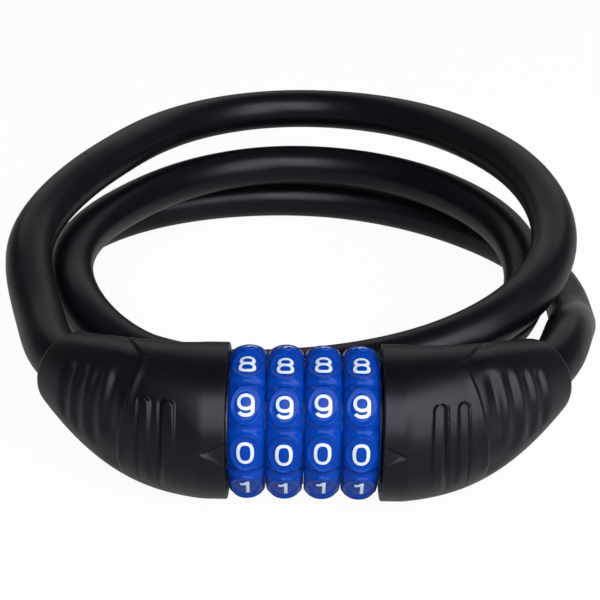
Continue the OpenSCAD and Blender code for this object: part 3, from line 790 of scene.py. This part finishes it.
# the hub on a dial's plug side, which stands out by its height in the solids and a little further here
HUB_R = 13.9
HUB_HEIGHT = 0.2
HUB_REACH = 0.27
DIAL_LOW, DIAL_HIGH = node_box("dial_1")
DIAL_R = DIAL_HIGH[2]
DIAL_HALF = (DIAL_HIGH[0] - DIAL_LOW[0] - HUB_HEIGHT) / 2
CROWN_DROP = 1.9
# the rounded edges: their width, then how far each step is from the side and under the skin, as shares of it
DIAL_EDGE = 0.5
EDGE_STEPS = [(0.7, 0.3), (0.4, 0.7), (0.15, 1.2), (0, 1.8)]
# the oval round each number: its half sizes, the dish in it and the rim round it
OVAL = (3.25, 4.2)
DISH_DEPTH = 0.36
RIM_HEIGHT = 0.2
RIM_WIDTH = 0.07
# the valley between two ovals, which deepens from this share of an oval's half length on
VALLEY_DEPTH = 0.65
VALLEY_START = 0.85
# over which shares of the oval the dish ends and the valley begins
DISH_EDGE = (0.72, 0.98)
VALLEY_EDGE = (0.95, 1.1)
# the angle of the number at the index marks, and how far each dial sits off its click
INDEX_ANGLE = 5.3
DIAL_PLAY = (0.0, -1.4, 0.2, -0.1)


def round_barrel(x, r, turn):
    """Points at a place along the barrel, a radius and an angle up from the front."""
    return np.stack(np.broadcast_arrays(x, -r * cosd(turn), r * sind(turn)), axis=-1)


def dial_radius(across, arc):
    """Radius of a dial's skin at a distance across it from its middle and along it from a number."""
    crown = DIAL_R - CROWN_DROP * (across / DIAL_HALF) ** 2
    oval = np.sqrt((across / OVAL[0]) ** 2 + (arc / OVAL[1]) ** 2)
    halfway = math.pi * DIAL_R / DIGITS
    valley = VALLEY_DEPTH * smooth_step(VALLEY_START * OVAL[1], halfway, np.abs(arc))
    dish = DISH_DEPTH * (1 - smooth_step(*DISH_EDGE, oval))
    rim = RIM_HEIGHT * np.exp(-(((oval - 1) / RIM_WIDTH) ** 2))
    return crown - valley * smooth_step(*VALLEY_EDGE, oval) - dish + rim


def dial_section(arc):
    """The rings of a dial once round its section, as distance across from its middle and radius."""
    skin_end = DIAL_HALF - DIAL_EDGE
    skin = [(across, dial_radius(across, arc)) for across in np.linspace(-skin_end, skin_end, DIAL_ROWS)]
    edge_r = skin[-1][1]
    plug_edge = [(DIAL_HALF - DIAL_EDGE * side, edge_r - DIAL_EDGE * drop) for side, drop in EDGE_STEPS]
    hub_end = DIAL_HALF + HUB_REACH
    hub = [(DIAL_HALF, HUB_R), (hub_end, HUB_R), (hub_end, BORE_R), (-DIAL_HALF, BORE_R)]
    lock_edge = [(-across, r) for across, r in reversed(plug_edge)]
    return skin + plug_edge + hub + lock_edge


def make_dial(n, plastic, number_paint):
    """A dial and its numbers."""
    middle = node_box(f"dial_{n}")[0][0] + DIAL_HALF
    play = DIAL_PLAY[n - 1]
    angle = np.linspace(0, 360, DIAL_SIDES, endpoint=False)
    from_number = (angle - INDEX_ANGLE + DIGIT_TURN / 2) % DIGIT_TURN - DIGIT_TURN / 2
    section = dial_section(np.radians(from_number) * DIAL_R)
    rings = [round_barrel(middle + across, r, angle + play) for across, r in section]
    faces = grid_faces(len(rings), DIAL_SIDES, wrap_rows=True)
    dial = as_mesh(f"dial_{n}_look", np.concatenate(rings), faces, smooth_angle=40)
    paint(dial, plastic)
    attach(dial, f"dial_{n}_body")
    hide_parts(f"dial_{n}")
    numbers = make_numbers(n, middle, play)
    paint(numbers, number_paint)
    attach(numbers, f"dial_{n}_body")


# ---- the numbers, drawn as strokes in a box of these half sizes

STROKE = 0.72
HALF_W = 1.5
HALF_H = 2.19
# how sharp a stroke's corner may be and still keep its full width, as the cosine of half its turn
SHARPEST = 0.6
# how far a number stands out of the dish, how deep it goes in, and the height of the bands it is cut into
NUMBER_PROUD = 0.06
NUMBER_ROOT = 0.1
BAND_HEIGHT = 0.45


def ellipse(x, y, rx, ry, start, end, steps=28, power=2.3):
    """Points of a slightly squared ellipse from one angle to another."""
    angle = np.linspace(start, end, steps)
    c, s = cosd(angle), sind(angle)
    grow = (np.abs(c) ** power + np.abs(s) ** power) ** (-1 / power)
    return [(x + rx * u * g, y + ry * v * g) for u, v, g in zip(c, s, grow)]


W, H = HALF_W, HALF_H
# the bowl of a nine takes this share of its height
BOWL = 0.68
NINE = [
    ellipse(0, H * (1 - BOWL), W, H * BOWL, 0, 360, 41),
    [(W, H * (1 - BOWL))] + ellipse(0, -H * 0.42, W, H * 0.58, 0, -152, 26),
]
# the strokes of each digit, from 0 to 9
STROKES = [
    [ellipse(0, 0, W, H, 0, 360, 49, 2.6)],
    [
        [(0.45, -H - STROKE / 2), (0.45, H + STROKE / 2)],
        [(-1.15, H * 0.62), (-0.3, H * 0.74), (0.3, H)],
    ],
    [
        ellipse(0, H * 0.42, W, H * 0.58, 170, -32, 24, 2.0) + [(-W + 0.1, -H + 0.25)],
        [(-W - 0.2, -H), (W + 0.25, -H)],
    ],
    [
        ellipse(0, H * 0.5, W * 0.92, H * 0.5, 150, -90, 24),
        ellipse(0, -H * 0.5, W, H * 0.5, 90, -150, 24),
    ],
    [
        [(0.55, -H - 0.3), (0.55, H + 0.2)],
        [(0.45, H), (-W, -0.75)],
        [(-W - 0.2, -0.75), (W + 0.25, -0.75)],
    ],
    [
        [(W, H), (-W * 0.72, H)],
        [(-W * 0.72, H + 0.4), (-W * 0.86, 0.05)],
        ellipse(0, -H * 0.38, W, H * 0.62, 140, -150, 26),
    ],
    [[(-x, -y) for x, y in stroke] for stroke in NINE],
    [
        [(-W - 0.1, H), (W + 0.1, H)],
        [(W, H), (0.35, 0.1), (-0.15, -1.1), (-0.3, -H - 0.4)],
    ],
    [
        ellipse(0, H * 0.52, W * 0.9, H * 0.48, 0, 360, 37, 2.6),
        ellipse(0, -H * 0.48, W, H * 0.52, 0, 360, 37, 2.6),
    ],
    NINE,
]


def band(points):
    """The outline quads of a stroke: its line widened by half a stroke to both sides."""
    line = np.array(points, float)
    closed = np.allclose(line[0], line[-1])
    step = np.diff(line, axis=0)
    step /= np.linalg.norm(step, axis=1, keepdims=True)
    if closed:
        before, after = np.vstack([step[-1:], step]), np.vstack([step, step[:1]])
    else:
        before, after = np.vstack([step[:1], step]), np.vstack([step, step[-1:]])
    ahead = before + after
    ahead /= np.linalg.norm(ahead, axis=1, keepdims=True)
    aside = np.stack([-ahead[:, 1], ahead[:, 0]], axis=1)
    reach = STROKE / 2 / np.clip((ahead * before).sum(axis=1), SHARPEST, 1)
    left, right = line + aside * reach[:, None], line - aside * reach[:, None]
    return [[right[i], right[i + 1], left[i + 1], left[i]] for i in range(len(line) - 1)]


def number_shape(strokes):
    """Points and triangles of a digit's outline, cut often enough to bend round the dial."""
    corners, faces, cuts = [], [], []
    for stroke in strokes:
        for quad in band(stroke):
            faces.append(list(range(len(corners), len(corners) + 4)))
            corners += [Vector(p) for p in quad]
    for y in np.arange(-HALF_H - STROKE, HALF_H + STROKE, BAND_HEIGHT):
        cuts.append((len(corners), len(corners) + 1))
        corners += [Vector((-HALF_W - STROKE, y)), Vector((HALF_W + STROKE, y))]
    points, _, triangles, _, _, origin = delaunay_2d_cdt(corners, cuts, faces, 0, 1e-4)
    kept = [tuple(t) for t, source in zip(triangles, origin) if source]
    used = sorted({i for t in kept for i in t})
    place = {i: k for k, i in enumerate(used)}
    return np.array([points[i] for i in used]), [tuple(place[i] for i in t) for t in kept]


NUMBER_SHAPES = [number_shape(strokes) for strokes in STROKES]


def make_numbers(n, middle, play):
    """The numbers of a dial as one mesh of closed pieces, each bent round the dial."""
    points, faces = [], []
    for digit, (flat, triangles) in enumerate(NUMBER_SHAPES):
        base, count = len(points), len(flat)
        ground = dial_radius(flat[:, 0], flat[:, 1])
        turn = INDEX_ANGLE + play - DIGIT_TURN * digit + np.degrees(flat[:, 1] / DIAL_R)
        for r in (ground + NUMBER_PROUD, ground - NUMBER_ROOT):
            points += round_barrel(middle + flat[:, 0], r, turn).tolist()
        edges = {(t[i], t[(i + 1) % 3]) for t in triangles for i in range(3)}
        faces += [tuple(base + i for i in t) for t in triangles]
        faces += [tuple(base + count + i for i in reversed(t)) for t in triangles]
        faces += [
            (base + b, base + a, base + count + a, base + count + b)
            for a, b in edges if (b, a) not in edges
        ]
    return as_mesh(f"dial_{n}_numbers", points, faces, smooth_angle=35)


# ---- the metal inside

# by material slot: colour, roughness, stretch of the grain along the axes, and its scale
METALS = {
    "turned_steel": ((0.56, 0.56, 0.58), 0.28, (6, 1, 1), 900),
    "spring_steel": ((0.42, 0.42, 0.45), 0.22, (1, 1, 1), 900),
    "die_cast": ((0.36, 0.37, 0.4), 0.5, (1, 1, 1), 600),
    # the collar's colour is darkened nearly to black, far below brass: painted shade for the dark gap between
    # the last dial and the plug's cover
    "collar_brass": ((0.05, 0.042, 0.034), 0.5, (1, 1, 1), 900),
}


def finish_metal():
    """Gives each metal piece of the frame the metal of its slot."""
    metals = {slot: metal(slot, *look) for slot, look in METALS.items()}
    for entry in frame["record"]["subparts"]:
        if entry["material_slot"] in metals:
            paint(frame["nodes"][entry["node"]], metals[entry["material_slot"]])


make_camera()
make_cable()
cover_rubber = rubber()
for cover_side in (-1, 1):
    make_cover(cover_side, cover_rubber)
dial_blue = blue_plastic()
number_white = white_paint()
for dial_number in range(1, DIALS + 1):
    make_dial(dial_number, dial_blue, number_white)
finish_metal()
make_stage()
make_world()
for lamp_name, lamp_place in LAMPS.items():
    add_lamp(lamp_name, *lamp_place)
bpy.context.scene.view_settings.view_transform = "Standard"
